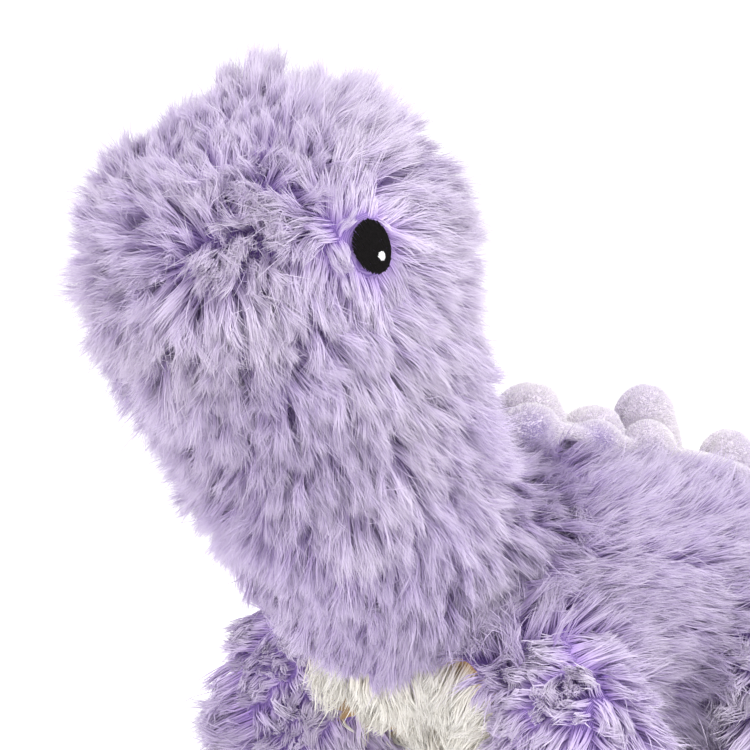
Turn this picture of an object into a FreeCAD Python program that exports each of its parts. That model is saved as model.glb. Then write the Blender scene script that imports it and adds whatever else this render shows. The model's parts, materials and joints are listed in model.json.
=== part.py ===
"""A long-necked dinosaur soft toy: long-pile covers over stuffing, velour spikes, embroidered eyes.

The toy stands on four stubby legs and looks along -Y, +X is its left side and +Z is up.
The origin is on the floor under the centre of its bounding box. Every cover is modelled as the
cloth and its pile together, so its outside is the mean surface of the pile.
The neck tilts at its root, the head turns on the neck, the legs and the tail swing.
"""

import FreeCAD, Part
import math
import os

doc = FreeCAD.newDocument("StuffedDinosaur")
sheet = doc.addObject("Spreadsheet::Sheet", "Sizes")

# Driving dimensions in millimetres and degrees.
SIZES = {
    # cloth and clearances
    "pile": 10.0,
    "running_gap": 0.8,
    "tool_reach": 200.0,
    # skull and jaw
    "skull_half_width": 46.0,
    "skull_half_length": 60.0,
    "skull_half_height": 46.0,
    "skull_y": -111.5,
    "skull_z": 200.0,
    "jaw_half_width": 47.0,
    "jaw_half_length": 55.0,
    "jaw_half_height": 39.0,
    "jaw_y": -107.0,
    "jaw_z": 181.0,
    # neck, measured along its own leaning axis from the centre of the ball at its root
    "neck_y": -65.0,
    "neck_z": 93.0,
    "neck_lean": 24.0,
    "neck_root_radius": 30.0,
    "neck_middle_radius": 41.5,
    "neck_top_radius": 45.5,
    "collar_radius": 42.0,
    "neck_middle_at": 30.0,
    "neck_split_at": 52.0,
    "collar_top_at": 96.0,
    "neck_tilt": 15.0,
    # torso
    "chest_radius": 52.0,
    "chest_y": -18.0,
    "chest_z": 84.0,
    "rump_radius": 47.0,
    "rump_y": 60.0,
    "rump_z": 67.0,
    "belly_half_width": 23.0,
    "belly_top": 74.0,
    # legs
    "leg_x": 56.0,
    "front_leg_y": -48.0,
    "rear_leg_y": 50.0,
    "hip_joint_z": 60.0,
    "leg_radius": 27.0,
    "foot_radius": 28.5,
    "toe_reach": 18.0,
    "toe_rise": 8.0,
    "toe_radius": 23.0,
    "sole_thickness": 3.0,
    "leg_swing": 20.0,
    # tail, measured along its drooping axis from the centre of the ball at its root
    "tail_y": 90.0,
    "tail_z": 66.0,
    "tail_droop": 34.0,
    "tail_root_radius": 29.0,
    "tail_tip_radius": 12.0,
    "tail_length": 83.8,
    "tail_swing": 20.0,
    # crest of stuffed velour spikes on a padded strip
    "strip_half_width": 13.0,
    "strip_height": 4.0,
    "strip_front_y": -24.0,
    "strip_rear_y": 90.0,
    "spike_half_width": 8.0,
    "spike_half_length": 12.0,
    "spike_1_y": -8.0,
    "spike_1_height": 14.0,
    "spike_2_y": 20.0,
    "spike_2_height": 11.0,
    "spike_3_y": 46.0,
    "spike_3_height": 22.0,
    "spike_4_y": 86.0,
    "spike_4_height": 14.0,
    "tail_spike_height": 14.0,
    "tail_spike_first_at": 36.0,
    "tail_spike_spacing": 24.0,
    # embroidered eyes
    "eye_x": 45.0,
    "eye_y": -119.0,
    "eye_z": 206.0,
    "eye_half_width": 7.0,
    "eye_half_height": 8.0,
    "eye_half_depth": 1.8,
    "glint_half_width": 1.6,
    "glint_half_height": 2.4,
    "glint_half_depth": 0.8,
    "glint_down": 3.0,
    "glint_proud": 1.7,
}
BODY_SPIKES = 4
TAIL_SPIKES = 2
TAIL_SPIKE_TAPER = 0.2


def fill_sheet():
    """One row per driving dimension: its name beside its value, with the name as alias."""
    for row, (name, value) in enumerate(SIZES.items(), start=1):
        sheet.set(f"A{row}", name)
        sheet.set(f"B{row}", str(value))
        sheet.setAlias(f"B{row}", name)
    doc.recompute()


def cell(name):
    """The value that the sheet holds under a name."""
    return float(sheet.get(name))


def minus(name, inset):
    """A formula: a dimension less the depth of the layers outside it."""
    return f"Sizes.{name} - {inset}"


def primitive(kind, name, centre, turn=None, **formulas):
    """A Part primitive with every size and its centre bound to formulas, turned by a Rotation."""
    item = doc.addObject(kind, name)
    for size, formula in formulas.items():
        item.setExpression(size, formula)
    if turn:
        item.Placement = FreeCAD.Placement(FreeCAD.Vector(), turn)
    for axis, formula in zip("xyz", centre):
        item.setExpression(f"Placement.Base.{axis}", formula)
    return item


def ellipsoid(name, centre, half_x, half_y, half_z, turn=None):
    """Part's Radius1, Radius2 and Radius3 lie along its Z, X and Y."""
    return primitive("Part::Ellipsoid", name, centre, turn, Radius1=half_z, Radius2=half_x, Radius3=half_y)


def fuse(name, parts):
    """The union of several solids."""
    item = doc.addObject("Part::MultiFuse", name)
    item.Shapes = parts
    return item


def cut(name, base, tool):
    """A solid less another solid."""
    item = doc.addObject("Part::Cut", name)
    item.Base = base
    item.Tool = tool
    return item


def common(name, base, tool):
    """What two solids share."""
    item = doc.addObject("Part::Common", name)
    item.Base = base
    item.Tool = tool
    return item


def block(name, low, high):
    """A box between two corners given as formulas."""
    spans = [f"({top}) - ({bottom})" for bottom, top in zip(low, high)]
    return primitive("Part::Box", name, low, Length=spans[0], Width=spans[1], Height=spans[2])


def side_block(name, side):
    """Everything on the toy's left, side 1, or on its right, side -1."""
    reach = "Sizes.tool_reach"
    low_x, high_x = ("0", reach) if side > 0 else (f"-{reach}", "0")
    return block(name, (low_x, f"-2 * {reach}", f"-{reach}"), (high_x, f"2 * {reach}", f"2 * {reach}"))


def subpart(item, label):
    """Gives a finished solid the name that its file has."""
    item.Label = label
    finished.append(item)
    return item


def neck_turn():
    """Turns +Z forwards to the leaning axis of the neck."""
    return FreeCAD.Rotation(FreeCAD.Vector(1, 0, 0), cell("neck_lean"))


def neck_point(along):
    """Formulas of the point at a distance along the neck's axis from its root."""
    return (
        "0",
        f"Sizes.neck_y - ({along}) * sin(Sizes.neck_lean * 1 deg)",
        f"Sizes.neck_z + ({along}) * cos(Sizes.neck_lean * 1 deg)",
    )


def tail_turn():
    """Turns +Z backwards and down to the drooping axis of the tail."""
    return FreeCAD.Rotation(FreeCAD.Vector(1, 0, 0), -90.0 - cell("tail_droop"))


def tail_point(along, above="0"):
    """Formulas of the point at a distance along the tail's axis and at a height above the axis."""
    return (
        "0",
        f"Sizes.tail_y + ({along}) * cos(Sizes.tail_droop * 1 deg)"
        f" + ({above}) * sin(Sizes.tail_droop * 1 deg)",
        f"Sizes.tail_z - ({along}) * sin(Sizes.tail_droop * 1 deg)"
        f" + ({above}) * cos(Sizes.tail_droop * 1 deg)",
    )


def head_form(tag, inset):
    """Skull, jaw and the collar that carries them, ending in a flat face across the neck's axis."""
    # turned a quarter about Z, so that the seam of each round face lies at the back
    quarter = FreeCAD.Rotation(FreeCAD.Vector(0, 0, 1), 90)
    masses = []
    for mass in ("skull", "jaw"):
        masses.append(
            ellipsoid(
                f"{mass.title()}{tag}",
                ("0", f"Sizes.{mass}_y", f"Sizes.{mass}_z"),
                minus(f"{mass}_half_length", inset),
                minus(f"{mass}_half_width", inset),
                minus(f"{mass}_half_height", inset),
                quarter,
            )
        )
    start = "Sizes.neck_split_at + Sizes.running_gap"
    collar = primitive(
        "Part::Cone",
        f"Collar{tag}",
        neck_point(start),
        neck_turn(),
        Radius1=minus("neck_top_radius", inset),
        Radius2=minus("collar_radius", inset),
        Height=f"Sizes.collar_top_at - ({start})",
    )
    whole = fuse(f"HeadWhole{tag}", masses + [collar])
    below = primitive(
        "Part::Cylinder",
        f"BelowCollar{tag}",
        neck_point(f"{start} - Sizes.tool_reach"),
        neck_turn(),
        Radius="Sizes.tool_reach",
        Height="Sizes.tool_reach",
    )
    return cut(f"HeadForm{tag}", whole, below)


def neck_form(tag, inset):
    """A ball at the root, then two stretches that widen towards the head."""
    root = primitive(
        "Part::Sphere", f"NeckRoot{tag}", neck_point("0"), Radius=minus("neck_root_radius", inset)
    )
    lower = primitive(
        "Part::Cone",
        f"NeckLower{tag}",
        neck_point("0"),
        neck_turn(),
        Radius1=minus("neck_root_radius", inset),
        Radius2=minus("neck_middle_radius", inset),
        Height="Sizes.neck_middle_at",
    )
    upper = primitive(
        "Part::Cone",
        f"NeckUpper{tag}",
        neck_point("Sizes.neck_middle_at"),
        neck_turn(),
        Radius1=minus("neck_middle_radius", inset),
        Radius2=minus("neck_top_radius", inset),
        Height="Sizes.neck_split_at - Sizes.neck_middle_at",
    )
    return fuse(f"NeckForm{tag}", [root, lower, upper])


def tail_form(tag, inset):
    """A ball at the root and a taper down to a round tip."""
    root = primitive(
        "Part::Sphere", f"TailRoot{tag}", tail_point("0"), Radius=minus("tail_root_radius", inset)
    )
    taper = primitive(
        "Part::Cone",
        f"TailTaper{tag}",
        tail_point("0"),
        tail_turn(),
        Radius1=minus("tail_root_radius", inset),
        Radius2=minus("tail_tip_radius", inset),
        Height="Sizes.tail_length",
    )
    tip = primitive(
        "Part::Sphere",
        f"TailTip{tag}",
        tail_point("Sizes.tail_length"),
        Radius=minus("tail_tip_radius", inset),
    )
    return fuse(f"TailForm{tag}", [root, taper, tip])


def torso_turn():
    """Turns +Z backwards to the line from the chest's centre to the rump's."""
    fall = cell("chest_z") - cell("rump_z")
    length = cell("rump_y") - cell("chest_y")
    return FreeCAD.Rotation(FreeCAD.Vector(1, 0, 0), -90.0 - math.degrees(math.atan2(fall, length)))


def torso_form(tag, inset):
    """A round chest and a round rump with an even barrel between them."""
    chest = primitive(
        "Part::Sphere",
        f"Chest{tag}",
        ("0", "Sizes.chest_y", "Sizes.chest_z"),
        Radius=minus("chest_radius", inset),
    )
    barrel = primitive(
        "Part::Cone",
        f"Barrel{tag}",
        ("0", "Sizes.chest_y", "Sizes.chest_z"),
        torso_turn(),
        Radius1=minus("chest_radius", inset),
        Radius2=minus("rump_radius", inset),
        Height="sqrt((Sizes.rump_y - Sizes.chest_y)^2 + (Sizes.chest_z - Sizes.rump_z)^2)",
    )
    rump = primitive(
        "Part::Sphere",
        f"Rump{tag}",
        ("0", "Sizes.rump_y", "Sizes.rump_z"),
        Radius=minus("rump_radius", inset),
    )
    return fuse(f"TorsoForm{tag}", [chest, barrel, rump])


def leg_form(tag, side, leg_y, inset, below):
    """A ball at the top, a slightly flared column that starts below the floor, and a toe."""
    x = f"{side} * Sizes.leg_x"
    # the seams of the round faces are turned to the back, clear of the toe
    seam_back = FreeCAD.Rotation(FreeCAD.Vector(0, 0, 1), 90)
    seam_up = FreeCAD.Rotation(FreeCAD.Vector(1, 0, 0), 90)
    top = primitive(
        "Part::Sphere",
        f"LegTop{tag}",
        (x, leg_y, "Sizes.hip_joint_z"),
        seam_back,
        Radius=minus("leg_radius", inset),
    )
    column = primitive(
        "Part::Cone",
        f"LegColumn{tag}",
        (x, leg_y, f"-({below})"),
        seam_back,
        Radius1=minus("foot_radius", inset),
        Radius2=minus("leg_radius", inset),
        Height=f"Sizes.hip_joint_z + {below}",
    )
    toe = primitive(
        "Part::Sphere",
        f"LegToe{tag}",
        (x, f"{leg_y} - Sizes.toe_reach", "Sizes.toe_rise"),
        seam_up,
        Radius=minus("toe_radius", inset),
    )
    return fuse(f"LegForm{tag}", [top, column, toe])


def neck_socket(tag):
    """The room that the neck's root sweeps when it tilts: a ball and a funnel around the neck."""
    ball = primitive(
        "Part::Sphere",
        f"NeckSocketBall{tag}",
        neck_point("0"),
        Radius="Sizes.neck_root_radius + Sizes.running_gap",
    )
    tilt = math.radians(cell("neck_tilt"))
    flare = (cell("neck_middle_radius") - cell("neck_root_radius")) / cell("neck_middle_at")
    spread = math.tan(math.atan(flare) + tilt)
    behind = cell("neck_root_radius") * math.sin(tilt)
    length = cell("neck_split_at") + behind
    funnel = primitive(
        "Part::Cone",
        f"NeckSocketFunnel{tag}",
        neck_point(f"{-behind}"),
        neck_turn(),
        Radius1="Sizes.neck_root_radius * cos(Sizes.neck_tilt * 1 deg) + Sizes.running_gap",
        Radius2="Sizes.neck_root_radius * cos(Sizes.neck_tilt * 1 deg) + Sizes.running_gap"
        f" + {spread * length}",
        Height=f"{length}",
    )
    return [ball, funnel]


def tail_socket(tag):
    """The room that the tail's root sweeps: a ball, and all behind a shallow cone around it."""
    ball = primitive(
        "Part::Sphere",
        f"TailSocketBall{tag}",
        tail_point("0"),
        Radius="Sizes.tail_root_radius + Sizes.running_gap",
    )
    taper = (cell("tail_root_radius") - cell("tail_tip_radius")) / cell("tail_length")
    forward = math.radians(cell("tail_swing")) - math.atan(taper)
    depth = cell("tail_root_radius") * math.sin(forward) + cell("running_gap")
    behind = primitive(
        "Part::Cylinder",
        f"BehindTail{tag}",
        tail_point(f"{-depth}"),
        tail_turn(),
        Radius="Sizes.tool_reach / 4",
        Height="Sizes.tool_reach",
    )
    return [ball, behind]


def leg_socket(tag, side, leg_y):
    """The room that a leg sweeps: a ball at its top and a fan that widens downwards."""
    x = f"{side} * Sizes.leg_x"
    ball = primitive(
        "Part::Sphere",
        f"LegSocketBall{tag}",
        (x, leg_y, "Sizes.hip_joint_z"),
        Radius="Sizes.leg_radius + Sizes.running_gap",
    )
    fan = doc.addObject("Part::Wedge", f"LegSocketFan{tag}")
    inner = "Sizes.foot_radius + Sizes.running_gap"
    top = "Sizes.leg_radius * sin(Sizes.leg_swing * 1 deg) + Sizes.running_gap"
    near = "Sizes.leg_radius * cos(Sizes.leg_swing * 1 deg) + Sizes.running_gap"
    far = f"{near} + ({top} + Sizes.hip_joint_z) * tan(Sizes.leg_swing * 1 deg + 2 deg)"
    sizes = {
        "Xmin": f"-({inner})",
        "X2min": f"-({inner})",
        "Xmax": inner,
        "X2max": inner,
        "Ymin": f"-({top})",
        "Ymax": "Sizes.hip_joint_z",
        "Zmin": f"-({near})",
        "Zmax": near,
        "Z2min": f"-({far})",
        "Z2max": far,
    }
    for size, formula in sizes.items():
        fan.setExpression(size, formula)
    downwards = FreeCAD.Rotation(FreeCAD.Vector(1, 0, 0), -90.0)
    fan.Placement = FreeCAD.Placement(FreeCAD.Vector(), downwards)
    for axis, formula in zip("xyz", (x, leg_y, "Sizes.hip_joint_z")):
        fan.setExpression(f"Placement.Base.{axis}", formula)
    return [ball, fan]


def cover_pair(form, shell, labels):
    """A shell sewn from a left and a right panel that meet in the middle."""
    for side, label in zip((1, -1), labels):
        half = side_block(f"{form}Side{label}", side)
        subpart(common(f"{form}Panel{label}", shell, half), label)


def eye_outward(side):
    """The skull's outward direction at the eye."""
    return FreeCAD.Vector(
        side * cell("eye_x") / cell("skull_half_width") ** 2,
        (cell("eye_y") - cell("skull_y")) / cell("skull_half_length") ** 2,
        (cell("eye_z") - cell("skull_z")) / cell("skull_half_height") ** 2,
    ).normalize()


def eye_turn(side):
    """Turns the eye's flat sides to the skull, with the seam of its round face on the inner side."""
    seam_inwards = FreeCAD.Rotation(FreeCAD.Vector(0, 0, 1), 180.0 if side > 0 else 0.0)
    return FreeCAD.Rotation(FreeCAD.Vector(side, 0, 0), eye_outward(side)).multiply(seam_inwards)


def make_head():
    """Two cover panels, each with its embroidered eye set in, around one wad of stuffing."""
    stuffing = head_form("Inner", "Sizes.pile")
    shell = cut("HeadShell", head_form("Outer", "0"), stuffing)
    for side, word in ((1, "left"), (-1, "right")):
        turn = eye_turn(side)
        outward = eye_outward(side)
        eye = ellipsoid(
            f"Eye_{word}",
            (f"{side} * Sizes.eye_x", "Sizes.eye_y", "Sizes.eye_z"),
            "Sizes.eye_half_depth",
            "Sizes.eye_half_width",
            "Sizes.eye_half_height",
            turn,
        )
        glint = ellipsoid(
            f"Glint_{word}",
            (
                f"{side} * Sizes.eye_x + {outward.x} * Sizes.glint_proud",
                f"Sizes.eye_y + {outward.y} * Sizes.glint_proud",
                f"Sizes.eye_z + {outward.z} * Sizes.glint_proud - Sizes.glint_down",
            ),
            "Sizes.glint_half_depth",
            "Sizes.glint_half_width",
            "Sizes.glint_half_height",
            turn,
        )
        half = side_block(f"HeadSide_{word}", side)
        panel = common(f"HeadPanel_{word}", shell, half)
        seat = fuse(f"EyeSeat_{word}", [eye, glint])
        subpart(cut(f"HeadCover_{word}", panel, seat), f"head_cover_{word}")
        subpart(cut(f"EyeThread_{word}", eye, glint), f"eye_{word}")
        subpart(glint, f"eye_glint_{word}")
    subpart(stuffing, "head_stuffing")


def make_neck():
    """Two cover panels around one wad of stuffing."""
    stuffing = neck_form("Inner", "Sizes.pile")
    shell = cut("NeckShell", neck_form("Outer", "0"), stuffing)
    cover_pair("Neck", shell, ("neck_cover_left", "neck_cover_right"))
    subpart(stuffing, "neck_stuffing")


def leg_places():
    """The four legs: name, side and the formula of its hinge's Y."""
    for end in ("front", "rear"):
        for side, word in ((1, "left"), (-1, "right")):
            yield f"{end}_{word}", side, f"Sizes.{end}_leg_y"


def make_torso(outer):
    """Left and right back panels, a pale belly panel from chest to tail, and the stuffing."""
    sockets = neck_socket("") + tail_socket("")
    for name, side, leg_y in leg_places():
        sockets += leg_socket(f"_{name}", side, leg_y)
    room = fuse("Sockets", sockets)
    inner = torso_form("Inner", "Sizes.pile")
    stuffing = cut("TorsoStuffing", inner, room)
    shell = cut("TorsoShell", cut("TorsoSkin", outer, inner), room)
    reach = "Sizes.tool_reach"
    below = block(
        "BellyRegion",
        ("-Sizes.belly_half_width", f"-{reach}", "0"),
        ("Sizes.belly_half_width", reach, "Sizes.belly_top"),
    )
    subpart(common("BellyPanel", shell, below), "belly_cover")
    back = cut("BackShell", shell, below)
    cover_pair("Torso", back, ("body_cover_left", "body_cover_right"))
    subpart(stuffing, "body_stuffing")
    return room


def make_legs():
    """Each leg: a tube of cover cloth, a flat sole and its own stuffing."""
    reach = "Sizes.tool_reach"
    for name, side, leg_y in leg_places():
        outer = leg_form(f"Outer_{name}", side, leg_y, "0", "Sizes.sole_thickness")
        inner = leg_form(f"Inner_{name}", side, leg_y, "Sizes.pile", "2 * Sizes.sole_thickness")
        low = (f"-{reach}", f"-{reach}", "0")
        sole_block = block(f"SoleBlock_{name}", low, (reach, reach, "Sizes.sole_thickness"))
        low = (f"-{reach}", f"-{reach}", "Sizes.sole_thickness")
        upper_block = block(f"UpperBlock_{name}", low, (reach, reach, reach))
        wall = cut(f"LegWall_{name}", outer, inner)
        subpart(common(f"LegCover_{name}", wall, upper_block), f"leg_{name}_cover")
        subpart(common(f"LegSole_{name}", outer, sole_block), f"leg_{name}_sole")
        subpart(common(f"LegStuffing_{name}", inner, upper_block), f"leg_{name}_stuffing")


def make_tail(outer):
    """Two cover panels around one wad of stuffing."""
    stuffing = tail_form("Inner", "Sizes.pile")
    shell = cut("TailShell", outer, stuffing)
    cover_pair("Tail", shell, ("tail_cover_left", "tail_cover_right"))
    subpart(stuffing, "tail_stuffing")


def make_back_crest(torso, room):
    """A padded velour strip along the back with stuffed spikes standing on it."""
    raised = torso_form("Strip", "-Sizes.strip_height")
    band = block(
        "StripRegion",
        ("-Sizes.strip_half_width", "Sizes.strip_front_y", "Sizes.chest_z"),
        ("Sizes.strip_half_width", "Sizes.strip_rear_y", "Sizes.tool_reach"),
    )
    whole_strip = common("StripWhole", raised, band)
    strip = cut("StripOnBack", cut("StripAboveTorso", whole_strip, torso), room)
    spikes = []
    for number in range(1, BODY_SPIKES + 1):
        ridge = torso_top(cell(f"spike_{number}_y"))
        spikes.append(
            ellipsoid(
                f"Spike{number}",
                ("0", f"Sizes.spike_{number}_y", f"{ridge}"),
                "Sizes.spike_half_width",
                "Sizes.spike_half_length",
                f"Sizes.spike_{number}_height",
            )
        )
    bed = fuse("SpikeBed", [torso, raised])
    for number, spike in enumerate(spikes, start=1):
        subpart(cut(f"BackSpike{number}", spike, bed), f"back_spike_{number}")
    subpart(strip, "back_strip")


def torso_top(y):
    """Height of the back's ridge at a place along the torso."""
    share = (y - cell("chest_y")) / (cell("rump_y") - cell("chest_y"))
    front_top = cell("chest_z") + cell("chest_radius")
    rear_top = cell("rump_z") + cell("rump_radius")
    beyond = max(0.0, y - cell("rump_y"))
    dip = cell("rump_radius") - math.sqrt(cell("rump_radius") ** 2 - beyond**2)
    return front_top + min(max(share, 0.0), 1.0) * (rear_top - front_top) - dip


def make_tail_crest(tail):
    """The crest goes on over the tail with spikes that get smaller."""
    taper = (cell("tail_root_radius") - cell("tail_tip_radius")) / cell("tail_length")
    upright = FreeCAD.Rotation(FreeCAD.Vector(1, 0, 0), -cell("tail_droop"))
    for number in range(TAIL_SPIKES):
        along = cell("tail_spike_first_at") + number * cell("tail_spike_spacing")
        above = cell("tail_root_radius") - taper * along
        share = 1.0 - TAIL_SPIKE_TAPER * number
        spike = ellipsoid(
            f"TailSpikeWhole{number + 1}",
            tail_point(f"{along}", f"{above}"),
            f"Sizes.spike_half_width * {share}",
            f"Sizes.spike_half_length * {share}",
            f"Sizes.tail_spike_height * {share}",
            upright,
        )
        subpart(cut(f"TailSpike{number + 1}", spike, tail), f"tail_spike_{number + 1}")


def check_and_export():
    """Stops on any failed feature or broken shape, then writes one STEP file per sub-part."""
    doc.recompute()
    failed = [item.Name for item in doc.Objects if "Invalid" in item.State or "Error" in item.State]
    if failed:
        raise RuntimeError(f"features failed: {failed}")
    for item in finished:
        shape = item.Shape
        if shape.isNull() or not shape.isValid() or shape.Volume <= 0.0:
            raise RuntimeError(f"{item.Label} has no valid shape")
    os.makedirs("parts", exist_ok=True)
    box = FreeCAD.BoundBox()
    for item in finished:
        item.Shape.exportStep(f"parts/{item.Label}.step")
        box.add(item.Shape.optimalBoundingBox())
        print(f"{item.Label}: {len(item.Shape.Solids)} solid, {item.Shape.Volume / 1000.0:.1f} cm3")
    print("low corner", box.XMin, box.YMin, box.ZMin)
    print("high corner", box.XMax, box.YMax, box.ZMax)


finished = []
fill_sheet()
torso_outer = torso_form("Outer", "0")
tail_outer = tail_form("Outer", "0")
make_head()
make_neck()
socket_room = make_torso(torso_outer)
make_legs()
make_tail(tail_outer)
make_back_crest(torso_outer, socket_room)
make_tail_crest(tail_outer)
check_and_export()
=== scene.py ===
"""Looks for the long-necked dinosaur soft toy.

The cloth backing is one smooth skin wrapped round the CAD covers, plumped by a short cloth
simulation and cut into one piece per body. Long pile grows on it as flat tapered strands in tufts,
each strand combed by a direction field over the body. The crest is short-pile velour, and the
eyes are rows of embroidery thread. All lengths are in metres.
"""

import json
import math

import bpy
import numpy as np
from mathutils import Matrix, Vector
from mathutils.bvhtree import BVHTree
from mathutils.kdtree import KDTree


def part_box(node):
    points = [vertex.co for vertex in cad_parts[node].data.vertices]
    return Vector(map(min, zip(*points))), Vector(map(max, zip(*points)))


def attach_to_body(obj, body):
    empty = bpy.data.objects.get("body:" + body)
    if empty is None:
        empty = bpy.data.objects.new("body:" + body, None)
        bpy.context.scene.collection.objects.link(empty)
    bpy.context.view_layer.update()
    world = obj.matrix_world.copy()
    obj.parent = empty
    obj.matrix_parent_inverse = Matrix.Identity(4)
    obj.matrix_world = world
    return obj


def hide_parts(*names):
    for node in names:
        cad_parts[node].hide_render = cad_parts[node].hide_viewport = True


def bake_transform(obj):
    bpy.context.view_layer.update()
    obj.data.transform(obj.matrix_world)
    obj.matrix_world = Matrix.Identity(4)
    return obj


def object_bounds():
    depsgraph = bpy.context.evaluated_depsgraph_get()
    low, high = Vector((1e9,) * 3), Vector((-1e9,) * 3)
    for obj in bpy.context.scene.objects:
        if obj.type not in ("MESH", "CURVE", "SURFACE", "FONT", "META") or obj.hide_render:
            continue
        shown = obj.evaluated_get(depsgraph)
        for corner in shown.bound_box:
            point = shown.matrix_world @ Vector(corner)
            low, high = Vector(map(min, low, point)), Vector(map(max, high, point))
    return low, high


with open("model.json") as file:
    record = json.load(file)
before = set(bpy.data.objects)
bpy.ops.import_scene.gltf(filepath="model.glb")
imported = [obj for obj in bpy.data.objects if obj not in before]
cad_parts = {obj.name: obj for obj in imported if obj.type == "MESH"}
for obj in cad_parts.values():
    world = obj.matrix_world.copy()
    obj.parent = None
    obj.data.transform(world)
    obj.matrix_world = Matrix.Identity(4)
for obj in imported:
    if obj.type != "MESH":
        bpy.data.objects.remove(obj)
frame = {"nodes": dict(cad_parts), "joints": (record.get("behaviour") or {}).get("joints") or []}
cad_low, cad_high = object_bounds()
scene = bpy.context.scene
JOINTS = {joint["name"]: joint for joint in frame["joints"]}
LEGS = ("front_left", "front_right", "rear_left", "rear_right")
SIDES = {"left": 1.0, "right": -1.0}
MM = 0.001

# Skin
PILE_DEPTH = 7.5 * MM
CLOSING = 7.0 * MM
SKIN_VOXEL = 3.5 * MM
PLUMP_FRAMES = 20
PLUMP_PRESSURE = 4.0
PLUMP_CAP = 3.0 * MM

# Camera: a long lens at head height, three quarters from the front
CAMERA_AZIMUTH = 45.0
CAMERA_ELEVATION = 10.0
CAMERA_DISTANCE = 1.0
FRAME_WIDTH = 210.0 * MM
AIM_RIGHT = 27.0 * MM
AIM_DOWN = 35.0 * MM

# Light
SURROUND = 1.2
KEY_POWER = 9.0
FILL_POWER = 4.2

# Where regions meet: how far each laps past its joint, and the radii of the torso's rounded ends
HEAD_LAP = 6.0 * MM
TAIL_LAP = 6.0 * MM
HIP_LAP = 26.0 * MM
CHEST_RADIUS = 52.0 * MM
RUMP_RADIUS = 50.0 * MM

# Opened pile on the chest that shows the backing
CHEST_OPENING = np.array([-28.0, -50.0, 50.0]) * MM
OPENING_HALF = np.array([13.0, 1.0, 9.0])

# Soles
SOLE_TUCK = 0.86
SOLE_FACING = -0.8
SOLE_STITCHES = 40
STITCH_HALF = (0.7 * MM, 0.7 * MM, 0.4 * MM)

# Embroidery
EYE_LEAN = math.radians(38)
EYE_WHORL = np.array([0.0, -13.0, 12.0]) * MM
EYE_DOME = 0.8 * MM
EYE_HALF = (6.2 * MM, 8.1 * MM)
EYE_CLEAR = (7.0 * MM, 8.7 * MM)
GLINT_HALF = (1.1 * MM, 1.6 * MM)
GLINT_FORWARD = -0.4 * MM
GLINT_UP = -3.6 * MM
STITCH = 3.6 * MM

# Velour
VELOUR_DENSITY = 18.0
VELOUR_LENGTH = 0.9 * MM

# Pile: spreads are shares of a random direction, and tones are shares from the dark to the light colour
STRANDS_PER_CLUMP = 32
CLUMPS_PER_TUFT = 7
TUFT_SPREAD = 0.30
CLUMP_SPREAD = 0.16
TUFT_TONE = 0.09
CLUMP_TONE = 0.07
STRAND_TONE = 0.05
STRAY_SHARE = 0.05
PROUD_SHARE = 0.25
SWAY = 1.5 * MM
FLOOR_GAP = 0.4 * MM
MOST_TRIANGLES = 190000
STRAY_ROOM = 8 * MM
STRIP_CLEAR = 3.5 * MM

DOWN = np.array([0.0, 0.0, -1.0])
BACK = np.array([0.0, 1.0, 0.0])


def joint_point(name):
    """Where a joint turns, as an array."""
    return np.array(JOINTS[name]["pos_m"], float)


def box_of(*nodes):
    """The lowest and highest corner of several CAD nodes together."""
    boxes = [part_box(node) for node in nodes]
    low = np.min([np.array(box[0]) for box in boxes], axis=0)
    high = np.max([np.array(box[1]) for box in boxes], axis=0)
    return low, high


def unit(vectors):
    """Vectors of length one, along the last axis."""
    return vectors / np.maximum(np.linalg.norm(vectors, axis=-1, keepdims=True), 1e-9)


def smoothstep(value, low, high):
    """0 below low, 1 above high, smooth between."""
    share = np.clip((value - low) / (high - low), 0.0, 1.0)
    return share * share * (3.0 - 2.0 * share)


# Places that the skin, the pile and the pieces share
NECK_ROOT = joint_point("neck_tilt")
NECK_AXIS = unit(np.array(JOINTS["head_turn"]["axis"], float))
HEAD_SPLIT = float((joint_point("head_turn") - NECK_ROOT) @ NECK_AXIS)
HEAD_LOW, HEAD_HIGH = box_of("head_cover_left", "head_cover_right")
SKULL = np.array([0.0, (HEAD_LOW[1] + HEAD_HIGH[1]) / 2 - 3 * MM, HEAD_HIGH[2] - 46 * MM])
BODY_LOW, BODY_HIGH = box_of("body_cover_left", "body_cover_right", "belly_cover")
TAIL_ROOT = joint_point("tail_swing")
TAIL_LOW, TAIL_HIGH = box_of("tail_cover_left", "tail_cover_right")
TAIL_AXIS = unit(np.array([0.0, TAIL_HIGH[1] - 12 * MM, TAIL_LOW[2] + 12 * MM]) - TAIL_ROOT)
# the neck's region starts along this direction, so that chest and withers stay with the torso
MANTLE = unit(np.array([0.0, -0.6, 0.8]))
MANTLE_START = float(MANTLE @ NECK_ROOT) - 8 * MM
LEG_TOPS = {name: joint_point(f"leg_{name}_swing") for name in LEGS}
EYES = {side: np.mean(np.array(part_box(f"eye_{side}")), axis=0) for side in SIDES}


# ---------------------------------------------------------------- camera, light and floor


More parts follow.
